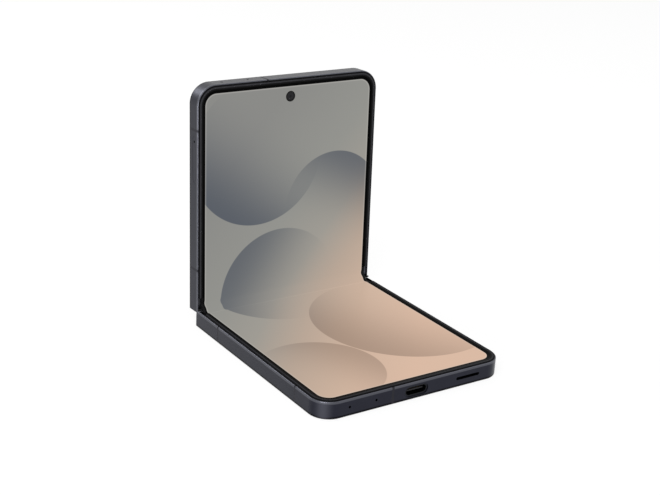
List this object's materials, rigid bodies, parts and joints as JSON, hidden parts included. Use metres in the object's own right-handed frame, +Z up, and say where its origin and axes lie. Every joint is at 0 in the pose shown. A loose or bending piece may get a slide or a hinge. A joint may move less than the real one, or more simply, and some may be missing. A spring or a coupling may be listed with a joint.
{
  "type": "foldable smartphone",
  "caption": "Clamshell folding smartphone with a bending inner display, geared hinge, side keys, SIM tray and charging port, stored half open.",
  "frame": {"origin": "middle of the lower half's underside, on the table", "axes": "+X across the phone to the right, +Y from the charging port end towards the fold, +Z up; the upper half stands up from the fold"},
  "size_m": [0.0755, 0.0926, 0.0889],
  "materials": {
    "frame_aluminium": "satin anodised",
    "break_polymer": "satin",
    "rear_glass": "frosted",
    "cover_glass": "gloss",
    "bezel_polymer": "satin",
    "display_stack": "gloss",
    "cell_pouch": "matte foil",
    "board": "solder mask",
    "stainless": "brushed",
    "black_plastic": "matte",
    "lens_glass": "gloss",
    "lens_metal": "turned",
    "led_plastic": "gloss",
    "copper": "bright",
    "gear_metal": "sintered",
    "seal_rubber": "matte",
    "magnet": "plated"
  },
  "bodies": {
    "lower_half": {"lower_frame": "frame_aluminium", "lower_antenna_breaks": "break_polymer", "lower_rear_glass": "rear_glass", "lower_bezel": "bezel_polymer", "display_lower": "display_stack", "lower_battery": "cell_pouch", "sub_board": "board", "usb_c_shell": "stainless", "usb_c_tongue": "black_plastic", "loudspeaker": "black_plastic", "loudspeaker_mesh": "black_plastic", "lower_microphones": "stainless", "vibration_motor": "stainless", "charging_coil": "copper", "sub_board_cover": "black_plastic", "lower_screws": "stainless", "lower_magnets": "magnet", "lower_wing_plate": "stainless"},
    "hinge_spine": {"hinge_housing": "frame_aluminium", "hinge_brackets": "gear_metal", "gear_shafts": "stainless", "centre_plate": "stainless", "spine_end_caps": "black_plastic", "disc_springs": "stainless", "hinge_screws": "stainless", "display_fold_lower": "display_stack", "display_fold_upper": "display_stack", "fold_seal_lower": "seal_rubber", "fold_seal_upper": "seal_rubber", "hinge_flex": "copper"},
    "upper_half": {"upper_frame": "frame_aluminium", "upper_antenna_breaks": "break_polymer", "cover_glass": "cover_glass", "cover_display": "display_stack", "camera_rings": "lens_metal", "camera_lens_glass": "lens_glass", "rear_camera_modules": "black_plastic", "flash_led": "led_plastic", "upper_bezel": "bezel_polymer", "display_upper": "display_stack", "front_camera": "lens_glass", "earpiece": "black_plastic", "earpiece_mesh": "black_plastic", "main_board": "board", "shield_cans": "stainless", "upper_battery": "cell_pouch", "upper_microphones": "stainless", "upper_screws": "stainless", "upper_magnets": "magnet", "upper_wing_plate": "stainless", "key_switches": "board", "sim_reader": "stainless", "main_board_cover": "black_plastic"},
    "arm_lower": {"sync_arm_lower": "gear_metal"},
    "arm_upper": {"sync_arm_upper": "gear_metal"},
    "idler_lower": {"idler_gear_lower": "gear_metal"},
    "idler_upper": {"idler_gear_upper": "gear_metal"},
    "volume_key": {"volume_key": "frame_aluminium"},
    "side_key": {"side_key": "frame_aluminium"},
    "sim_tray": {"sim_tray": "frame_aluminium"}
  },
  "joints": [
    {"name": "spine_fold", "type": "hinge", "parent": "lower_half", "child": "hinge_spine", "pos_m": [0, 0.03957, 0.00475], "axis": [1, 0, 0], "range_deg": [-44, 46], "deforming": ["display_fold_lower", "fold_seal_lower"]},
    {"name": "upper_fold", "type": "hinge", "parent": "hinge_spine", "child": "upper_half", "pos_m": [0, 0.0426, 0.00767], "axis": [1, 0, 0], "range_deg": [-44, 46], "deforming": ["display_fold_upper", "fold_seal_upper"]},
    {"name": "arm_lower_turn", "type": "hinge", "parent": "hinge_spine", "child": "arm_lower", "pos_m": [0, 0.03965, 0.00295], "axis": [1, 0, 0], "range_deg": [-46, 44]},
    {"name": "idler_lower_turn", "type": "hinge", "parent": "hinge_spine", "child": "idler_lower", "pos_m": [0, 0.04123, 0.00447], "axis": [1, 0, 0], "range_deg": [-44, 46]},
    {"name": "idler_upper_turn", "type": "hinge", "parent": "hinge_spine", "child": "idler_upper", "pos_m": [0, 0.04281, 0.006], "axis": [1, 0, 0], "range_deg": [-46, 44]},
    {"name": "arm_upper_turn", "type": "hinge", "parent": "hinge_spine", "child": "arm_upper", "pos_m": [0, 0.0444, 0.00753], "axis": [1, 0, 0], "range_deg": [-44, 46]},
    {"name": "volume_rock", "type": "hinge", "parent": "upper_half", "child": "volume_key", "pos_m": [0.036, 0.04586, 0.06249], "axis": [0, -0.9994, 0.0349], "range_deg": [-1.2, 1.2], "stiffness_Nm_per_rad": 0.5},
    {"name": "side_press", "type": "slide", "parent": "upper_half", "child": "side_key", "axis": [-1, 0, 0], "range_m": [0, 0.00025], "stiffness_N_per_m": 1500, "springref_m": -0.0004},
    {"name": "sim_slide", "type": "slide", "parent": "upper_half", "child": "sim_tray", "axis": [-1, 0, 0], "range_m": [0, 0.015]}
  ],
  "couplings": [
    {"joint": "upper_fold", "follows": "spine_fold", "ratio": 1},
    {"joint": "arm_lower_turn", "follows": "spine_fold", "ratio": -1},
    {"joint": "idler_lower_turn", "follows": "spine_fold", "ratio": 1},
    {"joint": "idler_upper_turn", "follows": "spine_fold", "ratio": -1},
    {"joint": "arm_upper_turn", "follows": "spine_fold", "ratio": 1}
  ]
}
